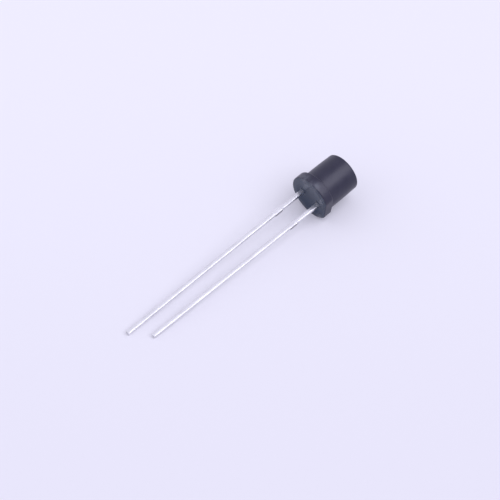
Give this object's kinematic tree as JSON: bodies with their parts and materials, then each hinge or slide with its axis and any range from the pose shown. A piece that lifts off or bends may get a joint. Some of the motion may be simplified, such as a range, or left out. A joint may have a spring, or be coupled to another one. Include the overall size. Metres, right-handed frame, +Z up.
{
  "type": "phototransistor",
  "caption": "Flat-top radial phototransistor: black cast epoxy barrel with a flange and two long square leads, lying on flange rim and lead tips.",
  "frame": {"origin": "on the surface it lies on, under the barrel's axis, halfway along the part's length", "axes": "+X along the part from the lead tips to the flat top, +Z up; the short collector lead is on the -Y side"},
  "size_m": [0.0338, 0.0057, 0.006],
  "materials": {
    "black_epoxy": "satin black cast epoxy",
    "tinned_steel": "bright matte tin plating",
    "silicon": "polished chip",
    "silver_epoxy": "cured silver-filled epoxy",
    "gold": "drawn gold wire"
  },
  "bodies": {
    "root": {"case": "black_epoxy", "collector_lead": "tinned_steel", "emitter_lead": "tinned_steel", "photo_die": "silicon", "die_attach": "silver_epoxy", "bond_wire": "gold"}
  },
  "joints": []
}
